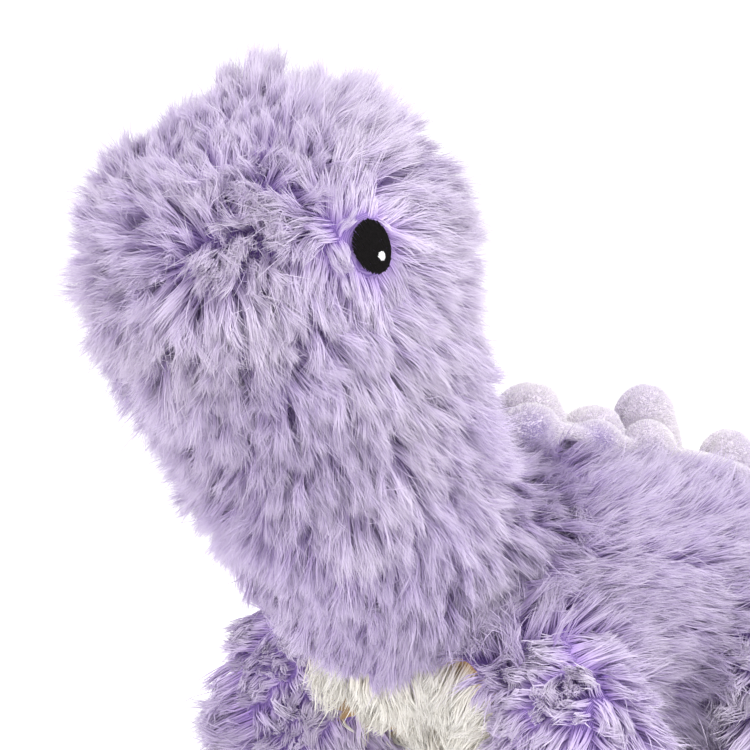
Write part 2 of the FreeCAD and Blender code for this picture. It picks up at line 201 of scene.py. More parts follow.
def make_camera():
    """Looks at the head and shoulders from the front left, slightly from above."""
    azimuth, elevation = math.radians(CAMERA_AZIMUTH), math.radians(CAMERA_ELEVATION)
    back = Vector(
        (
            math.sin(azimuth) * math.cos(elevation),
            -math.cos(azimuth) * math.cos(elevation),
            math.sin(elevation),
        )
    )
    right = Vector((math.cos(azimuth), math.sin(azimuth), 0.0))
    above = back.cross(right)
    aim = Vector(SKULL) + right * AIM_RIGHT - above * AIM_DOWN
    data = bpy.data.cameras.new("camera")
    data.lens = data.sensor_width * CAMERA_DISTANCE / FRAME_WIDTH
    camera = bpy.data.objects.new("camera", data)
    camera.location = aim + back * CAMERA_DISTANCE
    camera.rotation_mode = "QUATERNION"
    camera.rotation_quaternion = (-back).to_track_quat("-Z", "Y")
    data.clip_start, data.clip_end = 0.05, 20.0
    scene.collection.objects.link(camera)
    scene.camera = camera
    return aim, right, above, back


def area_light(name, place, aim, size, power, colour=(1.0, 1.0, 1.0)):
    """A soft square light that looks at a point."""
    data = bpy.data.lights.new(name, "AREA")
    data.shape = "SQUARE"
    data.size = size
    data.energy = power
    data.color = colour
    light = bpy.data.objects.new(name, data)
    light.location = place
    light.rotation_mode = "QUATERNION"
    light.rotation_quaternion = (aim - place).to_track_quat("-Z", "Y")
    scene.collection.objects.link(light)


def make_stage(aim, right, above, back):
    """A wide pale floor, a bright even surround, a soft key from the right and a weak fill."""
    bpy.ops.mesh.primitive_plane_add(size=12.0, location=(0, 0, 0))
    floor = bpy.context.object
    floor.name = "floor"
    material = bpy.data.materials.new("pale_floor")
    material.use_nodes = True
    shader = material.node_tree.nodes["Principled BSDF"]
    shader.inputs["Base Color"].default_value = (0.94, 0.94, 0.94, 1.0)
    shader.inputs["Roughness"].default_value = 0.9
    floor.data.materials.append(material)
    world = bpy.data.worlds.new("studio")
    world.use_nodes = True
    background = world.node_tree.nodes["Background"]
    background.inputs["Color"].default_value = (1.0, 1.0, 1.0, 1.0)
    background.inputs["Strength"].default_value = SURROUND
    scene.world = world
    key_place = aim + right * 0.75 + above * 0.85 + back * 0.55
    area_light("key", key_place, aim, 0.7, KEY_POWER, (1.0, 1.0, 0.96))
    fill_place = aim - right * 0.8 - above * 0.15 + back * 0.6
    area_light("fill", fill_place, aim - above * 0.05, 0.6, FILL_POWER, (1.0, 0.96, 0.93))
    scene.view_settings.view_transform = "Standard"
    scene.view_settings.look = "None"


# ---------------------------------------------------------------- materials


def material_nodes(name):
    """A new node material: the material, a maker of nodes, its links and its shader."""
    material = bpy.data.materials.new(name)
    material.use_nodes = True
    tree = material.node_tree
    shader = tree.nodes["Principled BSDF"]
    return material, tree.nodes.new, tree.links, shader


def linear(red, green, blue):
    """An sRGB colour, 0 to 255, as linear RGBA."""
    values = [channel / 255.0 for channel in (red, green, blue)]
    return tuple(v / 12.92 if v <= 0.04045 else ((v + 0.055) / 1.055) ** 2.4 for v in values) + (1.0,)


def ramp(new, stops):
    """A colour ramp with (place, colour) stops."""
    node = new("ShaderNodeValToRGB")
    band = node.color_ramp
    while len(band.elements) < len(stops):
        band.elements.new(0.5)
    for element, (place, colour) in zip(band.elements, stops):
        element.position = place
        element.color = colour
    return node


def pile_material(name, dark_stops, light_stops, sheen=0.22):
    """Pile colour from root to tip along V, between a darker and a lighter tuft tone along U."""
    material, new, links, shader = material_nodes(name)
    place = new("ShaderNodeUVMap")
    place.uv_map = "OFBake"
    split = new("ShaderNodeSeparateXYZ")
    links.new(place.outputs["UV"], split.inputs[0])
    dark, light = ramp(new, dark_stops), ramp(new, light_stops)
    mix = new("ShaderNodeMix")
    mix.data_type = "RGBA"
    links.new(split.outputs["Y"], dark.inputs["Fac"])
    links.new(split.outputs["Y"], light.inputs["Fac"])
    links.new(split.outputs["X"], mix.inputs["Factor"])
    links.new(dark.outputs["Color"], mix.inputs["A"])
    links.new(light.outputs["Color"], mix.inputs["B"])
    links.new(mix.outputs["Result"], shader.inputs["Base Color"])
    shader.inputs["Roughness"].default_value = 0.62
    shader.inputs["Specular IOR Level"].default_value = 0.18
    shader.inputs["Sheen Weight"].default_value = sheen
    shader.inputs["Sheen Roughness"].default_value = 0.5
    return material


def add_relief(new, links, shader, height, strength, distance):
    """A bump on the shader from a height."""
    relief = new("ShaderNodeBump")
    relief.inputs["Strength"].default_value = strength
    relief.inputs["Distance"].default_value = distance
    links.new(height, relief.inputs["Height"])
    links.new(relief.outputs["Normal"], shader.inputs["Normal"])


def knit_material(name, dark, light, scale=900.0, bump=0.4):
    """Knitted backing cloth: fine rows across the piece with uneven dye."""
    material, new, links, shader = material_nodes(name)
    place = new("ShaderNodeTexCoord")
    rows = new("ShaderNodeTexWave")
    rows.inputs["Scale"].default_value = scale
    rows.inputs["Distortion"].default_value = 2.0
    rows.inputs["Detail"].default_value = 2.0
    cloud = new("ShaderNodeTexNoise")
    cloud.inputs["Scale"].default_value = 60.0
    links.new(place.outputs["Object"], rows.inputs["Vector"])
    links.new(place.outputs["Object"], cloud.inputs["Vector"])
    blend = new("ShaderNodeMath")
    blend.operation = "MULTIPLY"
    links.new(rows.outputs["Fac"], blend.inputs[0])
    links.new(cloud.outputs["Fac"], blend.inputs[1])
    colour = ramp(new, [(0.1, dark), (0.7, light)])
    links.new(blend.outputs[0], colour.inputs["Fac"])
    links.new(colour.outputs["Color"], shader.inputs["Base Color"])
    add_relief(new, links, shader, rows.outputs["Fac"], bump, 0.2 * MM)
    shader.inputs["Roughness"].default_value = 0.9
    shader.inputs["Sheen Weight"].default_value = 0.3
    return material


def thread_material(name, dark, light, roughness):
    """Twisted embroidery thread with fine light and dark plies."""
    material, new, links, shader = material_nodes(name)
    place = new("ShaderNodeTexCoord")
    plies = new("ShaderNodeTexNoise")
    plies.inputs["Scale"].default_value = 2600.0
    plies.inputs["Detail"].default_value = 3.0
    links.new(place.outputs["Object"], plies.inputs["Vector"])
    colour = ramp(new, [(0.35, dark), (0.75, light)])
    links.new(plies.outputs["Fac"], colour.inputs["Fac"])
    links.new(colour.outputs["Color"], shader.inputs["Base Color"])
    add_relief(new, links, shader, plies.outputs["Fac"], 0.5, 0.1 * MM)
    shader.inputs["Roughness"].default_value = roughness
    shader.inputs["Specular IOR Level"].default_value = 0.15
    return material


# ---------------------------------------------------------------- skin


def add_object(name, mesh):
    """A new object in the scene."""
    item = bpy.data.objects.new(name, mesh)
    scene.collection.objects.link(item)
    return item


def mesh_from(name, points, faces):
    """A mesh from points and faces."""
    mesh = bpy.data.meshes.new(name)
    mesh.from_pydata([tuple(point) for point in points], [], [tuple(face) for face in faces])
    mesh.update()
    return mesh


def joined_nodes(name, nodes):
    """One object with copies of the meshes of several CAD nodes."""
    points, faces = [], []
    for node in nodes:
        mesh = frame["nodes"][node].data
        start = len(points)
        points += [tuple(vertex.co) for vertex in mesh.vertices]
        faces += [[start + index for index in polygon.vertices] for polygon in mesh.polygons]
    return add_object(name, mesh_from(name, points, faces))


def settle(item):
    """Applies an object's modifiers to its mesh."""
    graph = bpy.context.evaluated_depsgraph_get()
    mesh = bpy.data.meshes.new_from_object(item.evaluated_get(graph))
    item.modifiers.clear()
    item.data = mesh
    return item


def remesh(item, voxel):
    """Rebuilds the closed surface from voxels, which unites parts that overlap."""
    modifier = item.modifiers.new("remesh", "REMESH")
    modifier.mode = "VOXEL"
    modifier.voxel_size = voxel
    modifier.use_smooth_shade = True
    return settle(item)


def swell(item, distance):
    """Moves the surface along its normals."""
    modifier = item.modifiers.new("swell", "DISPLACE")
    modifier.mid_level = 0.0
    modifier.strength = distance
    return settle(item)


def relax(item, rounds):
    """Smooths the surface."""
    modifier = item.modifiers.new("relax", "SMOOTH")
    modifier.factor = 0.5
    modifier.iterations = rounds
    return settle(item)


def plump(item, cap):
    """A short cloth simulation under inner pressure; no point moves further than the cap."""
    before = points_of(item.data)
    modifier = item.modifiers.new("plump", "CLOTH")
    modifier.settings.quality = 4
    modifier.settings.use_pressure = True
    modifier.settings.uniform_pressure_force = PLUMP_PRESSURE
    modifier.settings.effector_weights.gravity = 0.0
    modifier.settings.tension_stiffness = 20.0
    modifier.settings.bending_stiffness = 2.0
    modifier.point_cache.frame_start = 1
    modifier.point_cache.frame_end = PLUMP_FRAMES
    for number in range(1, PLUMP_FRAMES + 1):
        scene.frame_set(number)
    settle(item)
    scene.frame_set(1)
    after = points_of(item.data)
    move = after - before
    length = np.linalg.norm(move, axis=1, keepdims=True)
    move *= np.minimum(1.0, cap / np.maximum(length, 1e-9))
    set_points(item, before + move)
    return item


def points_of(mesh):
    """A mesh's points as an array."""
    values = np.empty(len(mesh.vertices) * 3, np.float32)
    mesh.vertices.foreach_get("co", values)
    return values.reshape(-1, 3).astype(float)


def set_points(item, points):
    """Moves an object's points."""
    item.data.vertices.foreach_set("co", points.astype(np.float32).ravel())
    item.data.update()


def normals_of(mesh):
    """A mesh's point normals as an array."""
    values = np.empty(len(mesh.vertices) * 3, np.float32)
    mesh.vertex_normals.foreach_get("vector", values)
    return values.reshape(-1, 3).astype(float)


def triangles_of(mesh):
    """A mesh's triangles as an array of point numbers."""
    mesh.calc_loop_triangles()
    values = np.empty(len(mesh.loop_triangles) * 3, np.int32)
    mesh.loop_triangles.foreach_get("vertices", values)
    return values.reshape(-1, 3)


def make_skin():
    """The whole toy's backing: covers united, creases closed, then drawn in by the pile's depth."""
    covers = [name for name in frame["nodes"] if name.endswith(("cover", "stuffing", "sole"))]
    covers += [name for name in frame["nodes"] if "_cover_" in name and name not in covers]
    skin = joined_nodes("skin", covers)
    remesh(skin, SKIN_VOXEL)
    swell(skin, CLOSING)
    remesh(skin, SKIN_VOXEL)
    relax(skin, 6)
    swell(skin, -CLOSING - PILE_DEPTH)
    relax(skin, 8)
    plump(skin, PLUMP_CAP)
    relax(skin, 2)
    points = raise_under_eyes(points_of(skin.data))
    points[:, 2] = np.maximum(points[:, 2], 1.2 * MM)
    set_points(skin, points)
    return skin


def raise_under_eyes(points):
    """The cloth comes up to the back of each embroidered eye."""
    for side in EYES:
        outward, upward, along = eye_axes(side)
        away = points - EYES[side]
        beside = np.hypot(away @ along, away @ upward)
        depth = away @ outward
        share = (1 - smoothstep(beside, 6 * MM, 17 * MM)) * (np.abs(depth) < 20 * MM)
        points = points + outward * (share * np.maximum(-0.9 * MM - depth, 0.0))[:, None]
    return points


def capsule_distance(points, start, end, start_radius, end_radius):
    """Distance to a rounded cone between two points."""
    along = end - start
    share = np.clip(((points - start) @ along) / (along @ along), 0.0, 1.0)
    nearest = start + share[:, None] * along
    return np.linalg.norm(points - nearest, axis=1) - (start_radius + share * (end_radius - start_radius))


def regions_of(points, normals):
    """The name of the region that each point of the skin belongs to."""
    names = np.full(len(points), "torso", dtype=object)
    chest = np.array([0.0, BODY_LOW[1] + CHEST_RADIUS, BODY_HIGH[2] - CHEST_RADIUS])
    rump = np.array([0.0, 60 * MM, BODY_LOW[2] + RUMP_RADIUS])
    torso = capsule_distance(points, chest, rump, CHEST_RADIUS, RUMP_RADIUS)
    nearest = torso.copy()
    for name, top in LEG_TOPS.items():
        foot = top * np.array([1.0, 1.0, 0.0])
        leg = capsule_distance(points, top, foot, 27 * MM, 28 * MM)
        inner_front = smoothstep(-np.abs(points[:, 0]), -50 * MM, -38 * MM)
        inner_front = inner_front * smoothstep(points[:, 2], 36 * MM, 50 * MM) * (points[:, 1] < -35 * MM)
        leg = leg + 15 * MM * inner_front
        mine = (leg < nearest) & (points[:, 2] < top[2] + HIP_LAP)
        names[mine] = f"leg_{name}"
        nearest[mine] = leg[mine]
    tail = capsule_distance(points, TAIL_ROOT, TAIL_ROOT + TAIL_AXIS * 84 * MM, 29 * MM, 12 * MM)
    mine = (tail < nearest) & ((points - TAIL_ROOT) @ TAIL_AXIS > -TAIL_LAP)
    names[mine] = "tail"
    along = (points - NECK_ROOT) @ NECK_AXIS
    mantle = points @ MANTLE
    on_torso = names == "torso"
    names[on_torso & (mantle > MANTLE_START) & (points[:, 1] < 5 * MM)] = "neck"
    names[(along > HEAD_SPLIT - HEAD_LAP) & (points[:, 1] < -20 * MM)] = "head"
    pale = (belly_share(points, normals) > 0.5) & (points[:, 1] < TAIL_ROOT[1] - 12 * MM)
    names[pale & (names == "torso")] = "belly"
    return names


def belly_share(points, normals):
    """1 on the pale chest and belly panel, 0 on the lavender back."""
    front = smoothstep(-points[:, 1], 35 * MM, 55 * MM)
    half_width = 28 * MM + 20 * MM * front
    inside = smoothstep(half_width - np.abs(points[:, 0]), -1 * MM, 1 * MM)
    top = 72 * MM + 12 * MM * front * (1 - 1.3 * smoothstep(np.abs(points[:, 0]), 16 * MM, 42 * MM))
    low = smoothstep(top - points[:, 2], -1 * MM, 1 * MM)
    facing = smoothstep(-0.55 * normals[:, 2] - 0.8 * normals[:, 1], 0.0, 0.25)
    return inside * low * facing


def cut_skin(skin):
    """One skin piece per region, sharing their edges, and the samples that pile grows from."""
    points, normals = points_of(skin.data), normals_of(skin.data)
    polygons = [tuple(polygon.vertices) for polygon in skin.data.polygons]
    centres = np.array([points[list(corners)].mean(0) for corners in polygons])
    facing = np.array([normals[list(corners)].mean(0) for corners in polygons])
    names = regions_of(centres, unit(facing))
    pieces = {}
    for name in sorted(set(names)):
        mine = [corners for corners, region in zip(polygons, names) if region == name]
        used = sorted({index for corners in mine for index in corners})
        number = {index: place for place, index in enumerate(used)}
        faces = [[number[index] for index in corners] for corners in mine]
        mesh = mesh_from(f"skin_{name}", points[used], faces)
        mesh.shade_smooth()
        piece = add_object(f"skin_{name}", mesh)
        pieces[name] = (piece, points[used], normals[used])
    bpy.data.objects.remove(skin)
    return pieces


# ---------------------------------------------------------------- pile


class Waves:
    """A smooth random vector field: a sum of plane waves of about one length."""

    def __init__(self, seed, length, count=10):
        rng = np.random.default_rng(seed)
        self.steps = unit(rng.normal(size=(count, 3))) * (2 * math.pi / length)
        self.steps *= rng.uniform(0.6, 1.5, size=(count, 1))
        self.phases = rng.uniform(0, 2 * math.pi, size=(count, 3))
        self.sizes = unit(rng.normal(size=(count, 3))) * math.sqrt(2.0 / count)

    def at(self, points):
        """The field at points, each component about 1 at most."""
        turn = points @ self.steps.T
        values = [np.sin(turn + self.phases[:, axis]) @ self.sizes[:, axis] for axis in range(3)]
        return np.stack(values, axis=-1) * 1.7


SWIRL = Waves(3, 60 * MM)
TUFTY = Waves(5, 22 * MM)
TONE_WAVES = Waves(8, 35 * MM)


def measured(piece):
    """A skin piece's triangles and the area of each."""
    item, points, _ = piece
    corners = triangles_of(item.data)
    a, b, c = (points[corners[:, k]] for k in range(3))
    return corners, np.linalg.norm(np.cross(b - a, c - a), axis=1) / 2


def sample_skin(piece, count, rng):
    """Even random places on a skin piece: points and smooth normals."""
    _, points, normals = piece
    corners, area = measured(piece)
    chosen = rng.choice(len(corners), size=count, p=area / area.sum())
    first = np.sqrt(rng.random(count))[:, None]
    second = rng.random(count)[:, None]
    weights = (1 - first, first * (1 - second), first * second)
    corner = corners[chosen]
    place = sum(weight * points[corner[:, k]] for k, weight in enumerate(weights))
    normal = sum(weight * normals[corner[:, k]] for k, weight in enumerate(weights))
    return place, unit(normal)


def area_of(piece):
    """A skin piece's area in square metres."""
    return float(measured(piece)[1].sum())


def flat_to(vectors, normals):
    """The part of vectors that lies in the surface."""
    return vectors - normals * np.sum(vectors * normals, axis=-1, keepdims=True)


def eye_parting(points, comb, lean):
    """Past each eye the pile is brushed flat, away from a point ahead of and above the eye."""
    smooth = np.zeros(len(points))
    for side, sign in SIDES.items():
        away = points - (EYES[side] + EYE_WHORL)
        far = np.linalg.norm(points - EYES[side], axis=1)
        near = np.exp(-((far / (21 * MM)) ** 2)) * (points[:, 0] * sign > 0)
        comb = comb * (1 - near)[:, None] + unit(away) * near[:, None]
        lean = lean * (1 - near) + 0.95 * near
        smooth = np.maximum(smooth, near)
    return comb, lean, smooth


def comb_head(points, normals):
    """Backwards; up on the brow and down on the jaw; nearly upright where the snout points forwards."""
    height = (points[:, 2] - SKULL[2]) / (46 * MM)
    front = smoothstep(-points[:, 1], 98 * MM, 138 * MM)
    fall = np.clip(0.30 - 0.9 * height, -0.5, 0.9)[:, None]
    comb = DOWN * fall + BACK * 0.5 + SWIRL.at(points) * 0.35
    comb = comb * (1 - 0.65 * front)[:, None]
    lean = 0.42 - 0.18 * smoothstep(height, 0.2, 1.0) - 0.16 * front + 0.35 * brow_share(points)
    comb, lean, near = eye_parting(points, comb, lean)
    curl = 0.25 + 0.6 * front
    curl = np.maximum(curl, 0.55 * smoothstep(-height, 0.1, 0.7))
    return comb, lean, curl * (1 - near)


def brow_share(points):
    """1 on the sloping top of the snout, 0 elsewhere on the head."""
    rise = smoothstep(points[:, 2] - SKULL[2], 8 * MM, 30 * MM)
    return rise * smoothstep(-points[:, 1], 112 * MM, 140 * MM)


def comb_neck(points, normals):
    """Down the neck, in uneven layers."""
    comb = DOWN + BACK * 0.2 + SWIRL.at(points) * 0.45
    lean = 0.5 + 0.12 * TUFTY.at(points)[:, 0]
    return comb, lean, np.full(len(points), 0.6)


def comb_torso(points, normals):
    """Nearly upright on the back, brushed a little backwards and down the flanks."""
    comb = BACK * 0.7 + DOWN * 0.3 + SWIRL.at(points) * 0.3
    front = smoothstep(-points[:, 1], 20 * MM, 60 * MM)
    low = smoothstep(-points[:, 2], -80 * MM, -45 * MM)
    return comb, 0.2 + 0.3 * low, 0.1 + 0.5 * front


def comb_leg(points, normals):
    """Down the leg; crushed and curly on its front."""
    comb = DOWN + SWIRL.at(points) * 0.5
    front = smoothstep(-normals[:, 1] + 0.4 * normals[:, 2], 0.1, 0.8)
    lean = 0.55 - 0.3 * front
    return comb, lean, 0.35 + 0.65 * front


def comb_tail(points, normals):
    """Towards the tip of the tail."""
    comb = TAIL_AXIS + SWIRL.at(points) * 0.3
    return comb, np.full(len(points), 0.6), np.full(len(points), 0.2)


def comb_belly(points, normals):
    """Down the chest and back under the belly, brushed apart at one place on the chest."""
    comb = DOWN * 0.9 + BACK * 0.4 + SWIRL.at(points) * 0.5
    near, above = opening_share(points), opening_offset(points)[1]
    comb = comb * (1 - near)[:, None] - DOWN * (2.2 * near * np.sign(above))[:, None]
    return comb, 0.45 + 0.45 * near, np.full(len(points), 0.6)


def opening_offset(points):
    """How far points are from the middle of the chest's opened pile, in its half sizes."""
    away = (points - CHEST_OPENING) / (OPENING_HALF * MM)
    return away[:, 0], away[:, 2] + 0.25 * np.sin(4 * away[:, 0])


def opening_share(points):
    """1 at the chest's opened pile, 0 away from it."""
    beside, above = opening_offset(points)
    return np.exp(-(beside**2) - above**2)


def nearest(points, centres):
    """For each point, the number of the nearest centre."""
    tree = KDTree(len(centres))
    for number, centre in enumerate(centres):
        tree.insert(centre, number)
    tree.balance()
    return np.array([tree.find(point)[1] for point in points])


def start_and_end(points, normals, comb_by, rng, spread):
    """The directions in which pile leaves the skin and in which it ends, and how curly it is."""
    comb, lean, curl = comb_by(points, normals)
    comb = unit(flat_to(comb + spread * rng.normal(size=points.shape), normals))
    lean = np.clip(lean + 0.4 * spread * rng.normal(size=len(points)), 0.05, 1.0)
    start_angle = np.radians(12 + 40 * lean)[:, None]
    end_angle = np.radians(20 + 62 * lean)[:, None]
    start = normals * np.cos(start_angle) + comb * np.sin(start_angle)
    end = unit(normals * np.cos(end_angle) + comb * np.sin(end_angle) + DOWN * 0.15)
    return start, end, curl


def grow_pile(region, piece, look, comb_by, tone_by, length, density, width, segments, seed):
    """Strands in clumps and clumps in tufts; each level draws together towards its tips."""
    rng = np.random.default_rng(seed)
    count = int(area_of(piece) * 1e6 * density)
    root, normal = sample_skin(piece, count, rng)
    clump_root, clump_normal = sample_skin(piece, count // STRANDS_PER_CLUMP, rng)
    tuft_root, tuft_normal = sample_skin(piece, len(clump_root) // CLUMPS_PER_TUFT, rng)
    clump = nearest(root, clump_root)
    tuft = nearest(clump_root, tuft_root)

    tuft_start, tuft_end, _ = start_and_end(tuft_root, tuft_normal, comb_by, rng, TUFT_SPREAD)
    clump_start, clump_end, curl = start_and_end(clump_root, clump_normal, comb_by, rng, CLUMP_SPREAD)
    clump_start = unit(0.6 * tuft_start[tuft] + 0.4 * clump_start)
    jumble = (0.08 + 0.32 * curl)[:, None] * rng.normal(size=clump_end.shape)
    clump_end = unit(0.62 * tuft_end[tuft] + 0.38 * clump_end + jumble)
    clump_reach = tuft_reaches(region, tuft_root, rng)[tuft]
    clump_reach = clump_reach * rng.uniform(0.80, 1.06, len(clump_root)) * length
    clump_reach = clump_reach * trim_near_eye(clump_root) * trim_in_region(region, clump_root, clump_normal)
    clump_pull = rng.uniform(0.35, 0.7, len(clump_root)) * (0.5 + np.minimum(curl, 0.5))
    phase = rng.uniform(0, 2 * math.pi, len(clump_root))
    sway = unit(rng.normal(size=clump_root.shape)) * (SWAY * curl)[:, None]
    # on the head, neck and torso the region's tone also carries painted light and shade
    clump_tone = tone_by(tuft_root, tuft_normal)[tuft] + TUFT_TONE * rng.normal(size=len(tuft_root))[tuft]
    clump_tone = clump_tone + CLUMP_TONE * rng.normal(size=len(clump_root))

    strand_reach = rng.uniform(0.84, 1.03, count)
    stray = rng.random(count) < STRAY_SHARE
    turn = (0.08 + 0.22 * stray)[:, None] * rng.normal(size=root.shape)
    inner = root - clump_root[clump]
    outer = (clump_root - tuft_root[tuft])[clump]
    draw = rng.uniform(0.3, 0.75, count) * (1 - 0.5 * stray)
    rows = []
    for step in range(segments + 1):
        t = (step / segments) * strand_reach
        bend = np.sin(2.4 * math.pi * t + phase[clump]) * t
        spine = clump_start[clump] * t[:, None]
        spine = spine + ((clump_end - clump_start)[clump] * 0.5 + turn) * (t * t)[:, None]
        spine = spine * clump_reach[clump][:, None]
        rows.append(
            root
            - outer * (clump_pull[clump] * t**1.5)[:, None]
            - inner * (draw * t**1.4)[:, None]
            + spine
            + sway[clump] * bend[:, None]
        )
    strands = ribbons(rows, normal, width, rng)
    tones = np.clip(clump_tone[clump] + STRAND_TONE * rng.normal(size=count), 0.02, 0.98)
    keep = keep_clear(strands) & inside_limits(strands) & beside_crest(strands)
    keep &= rooted_in_region(region, strands[:, 0], normal)
    if region == "head":
        keep &= off_the_strip(strands)
    strands, tones = strands[keep], tones[keep]
    strands[..., 2] = np.maximum(strands[..., 2], FLOOR_GAP)
    return pile_pieces(f"pile_{region}", strands, tones, segments, look)


def tuft_reaches(region, tuft_root, rng):
    """How long each tuft is; some stand proud on top, and the brow's are short."""
    reach = rng.uniform(-0.13, 0.13, len(tuft_root)) + 0.12 * TUFTY.at(tuft_root)[:, 1]
    reach = 0.97 + reach * (0.4 if region == "torso" else 1.0)
    proud = (rng.random(len(tuft_root)) < PROUD_SHARE) & (tuft_root[:, 2] > SKULL[2] + 28 * MM)
    brow = brow_share(tuft_root) if region == "head" else 0.0
    return reach * (1 + 0.13 * proud * (brow < 0.3)) * (1 - 0.42 * brow)


def trim_in_region(region, root, normal):
    """Shorter pile on the throat, at the chest's opening and on the insides of the legs."""
    share = np.ones(len(root))
    if region == "neck":
        fringe = MANTLE_START + 12 * MM - root @ MANTLE
        share = share * (1 - 0.35 * smoothstep(fringe, 0.0, 10 * MM) * (root[:, 1] < -40 * MM))
        share = share * (1 - 0.25 * smoothstep(-normal[:, 1], 0.2, 0.9))
    if region == "belly":
        share = share * (1 - 0.6 * opening_share(root))
    if region.startswith("leg_"):
        inward = -normal[:, 0] * np.sign(root[:, 0])
        share = share * (1.1 - 0.4 * smoothstep(root[:, 2], 45 * MM, 80 * MM))
        share = share * (1.0 - 0.55 * smoothstep(inward, -0.3, 0.4))
    return share


def ribbons(rows, normal, width, rng):
    """Flat strands along rows of points: two corners at each row and one at the tip."""
    hint = unit(normal + 0.6 * rng.normal(size=normal.shape))
    breadth = (width * rng.uniform(0.75, 1.25, len(normal)) / 2)[:, None]
    segments = len(rows) - 1
    columns = []
    for step in range(segments):
        ahead = unit(rows[step + 1] - rows[max(step - 1, 0)])
        taper = 1.0 - 0.2 * (step / segments) ** 2
        side = unit(np.cross(ahead, hint)) * breadth * taper
        columns += [rows[step] - side, rows[step] + side]
    columns.append(rows[segments])
    return np.stack(columns, axis=1)


def rooted_in_region(region, root, normal):
    """Which strands stay: none on the soles and none in the chest's opening."""
    keep = np.ones(len(root), bool)
    if region.startswith("leg_"):
        keep &= normal[:, 2] > SOLE_FACING
    if region == "belly":
        beside, above = opening_offset(root)
        keep &= beside**2 + (above / 0.7) ** 2 + 4 * (root[:, 1] > -40 * MM) > 1
    return keep


def pile_pieces(name, strands, tones, segments, look):
    """Strands as meshes side by side from right to left, none of them too heavy."""
    per_piece = MOST_TRIANGLES // (2 * segments - 1)
    order = np.argsort(strands[:, 0, 0])
    parts = np.array_split(order, math.ceil(len(order) / per_piece))
    items = []
    for number, part in enumerate(parts):
        piece_name = f"{name}_{number + 1}"
        item = add_object(piece_name, ribbon_mesh(piece_name, strands[part], tones[part], segments))
        item.data.materials.append(look)
        items.append(item)
    return items


def trim_near_eye(points):
    """Pile that would fall over an embroidered eye is clipped to end at its edge."""
    share = np.ones(len(points))
    for side in EYES:
        away = points - EYES[side]
        far = np.linalg.norm(away, axis=1)
        upstream = smoothstep((unit(away) @ unit(EYE_WHORL)), -0.3, 0.3)
        room = np.clip((far - 5.0 * MM) / (13 * MM), 0.3, 1.0)
        share = share * (1 - upstream * (1 - room))
    return share


def keep_clear(strands):
    """Which strands leave the embroidered eyes uncovered."""
    keep = np.ones(len(strands), bool)
    for side, sign in SIDES.items():
        _, upward, along = eye_axes(side)
        away = strands - EYES[side]
        u = away @ along / EYE_CLEAR[0]
        v = away @ upward / EYE_CLEAR[1]
        covers = (u * u + v * v < 1.0) & (strands[..., 0] * sign > 0)
        keep &= ~covers.any(axis=1)
    return keep


def beside_crest(strands):
    """Which strands don't stand under the velour strip."""
    low, high = box_of("back_strip")
    root = strands[:, 0]
    within = (np.abs(root[:, 0]) < high[0] - 3 * MM) & (root[:, 1] > low[1]) & (root[:, 1] < high[1])
    return ~(within & (root[:, 2] > TAIL_ROOT[2]))


def off_the_strip(strands):
    """Which strands keep off the velour strip when the neck is tilted right back."""
    angle = math.radians(JOINTS["neck_tilt"]["range_deg"][0])
    ahead, above = strands[..., 1] - NECK_ROOT[1], strands[..., 2] - NECK_ROOT[2]
    tilted = strands.copy()
    tilted[..., 1] = NECK_ROOT[1] + ahead * math.cos(angle) - above * math.sin(angle)
    tilted[..., 2] = NECK_ROOT[2] + ahead * math.sin(angle) + above * math.cos(angle)
    strip = bpy.data.objects["back_strip_velour"].data
    points = points_of(strip)
    surface = BVHTree.FromPolygons(points.tolist(), [tuple(face.vertices) for face in strip.polygons])
    low, high = points.min(axis=0) - STRIP_CLEAR, points.max(axis=0) + STRIP_CLEAR
    near = ((tilted > low) & (tilted < high)).all(axis=-1).any(axis=1)
    keep = ~near
    for index in np.flatnonzero(near):
        hits = [surface.find_nearest(Vector(point), STRIP_CLEAR)[0] for point in tilted[index]]
        keep[index] = all(hit is None for hit in hits)
    return keep


def inside_limits(strands):
    """Which strands stay close enough to the toy's own size."""
    room = STRAY_ROOM + 0.03 * (np.array(cad_high) - np.array(cad_low))
    low, high = np.array(cad_low) - room, np.array(cad_high) + room
    tips = strands[:, -1]
    return ((tips > low) & (tips < high)).all(axis=1)


def ribbon_mesh(name, strands, tones, segments):
    """Strands as one mesh. U holds the strand's tone and V runs from its root to its tip."""
    count, size = strands.shape[:2]
    mesh = bpy.data.meshes.new(name)
    quads = segments - 1
    pattern = [2 * step + corner for step in range(quads) for corner in (0, 1, 3, 2)]
    pattern = np.array(pattern + [2 * quads, 2 * quads + 1, 2 * quads + 2])
    loops = (np.arange(count)[:, None] * size + pattern).ravel()
    loop_starts = (np.arange(count)[:, None] * len(pattern) + 4 * np.arange(quads + 1)).ravel()
    mesh.vertices.add(count * size)
    mesh.vertices.foreach_set("co", strands.astype(np.float32).ravel())
    mesh.loops.add(len(loops))
    mesh.loops.foreach_set("vertex_index", loops.astype(np.int32))
    mesh.polygons.add(len(loop_starts))
    mesh.polygons.foreach_set("loop_start", loop_starts.astype(np.int32))
    mesh.update(calc_edges=True)
    half = 0.006
    sides = np.where(np.arange(size) % 2 == 0, -half, half)
    sides[-1] = 0.0
    levels = np.minimum(np.arange(size) // 2 / segments, 1.0)
    levels = 0.01 + 0.98 * levels
    u = (tones[:, None] + sides)[:, pattern].ravel()
    v = np.broadcast_to(levels[pattern], (count, len(pattern))).ravel()
    layer = mesh.uv_layers.new(name="OFBake")
    layer.data.foreach_set("uv", np.stack([u, v], axis=-1).astype(np.float32).ravel())
    mesh.shade_smooth()
    return mesh


def tone_plain(points, normals):
    """Even tone with broad soft clouds."""
    return 0.5 + 0.10 * TONE_WAVES.at(points)[:, 0]


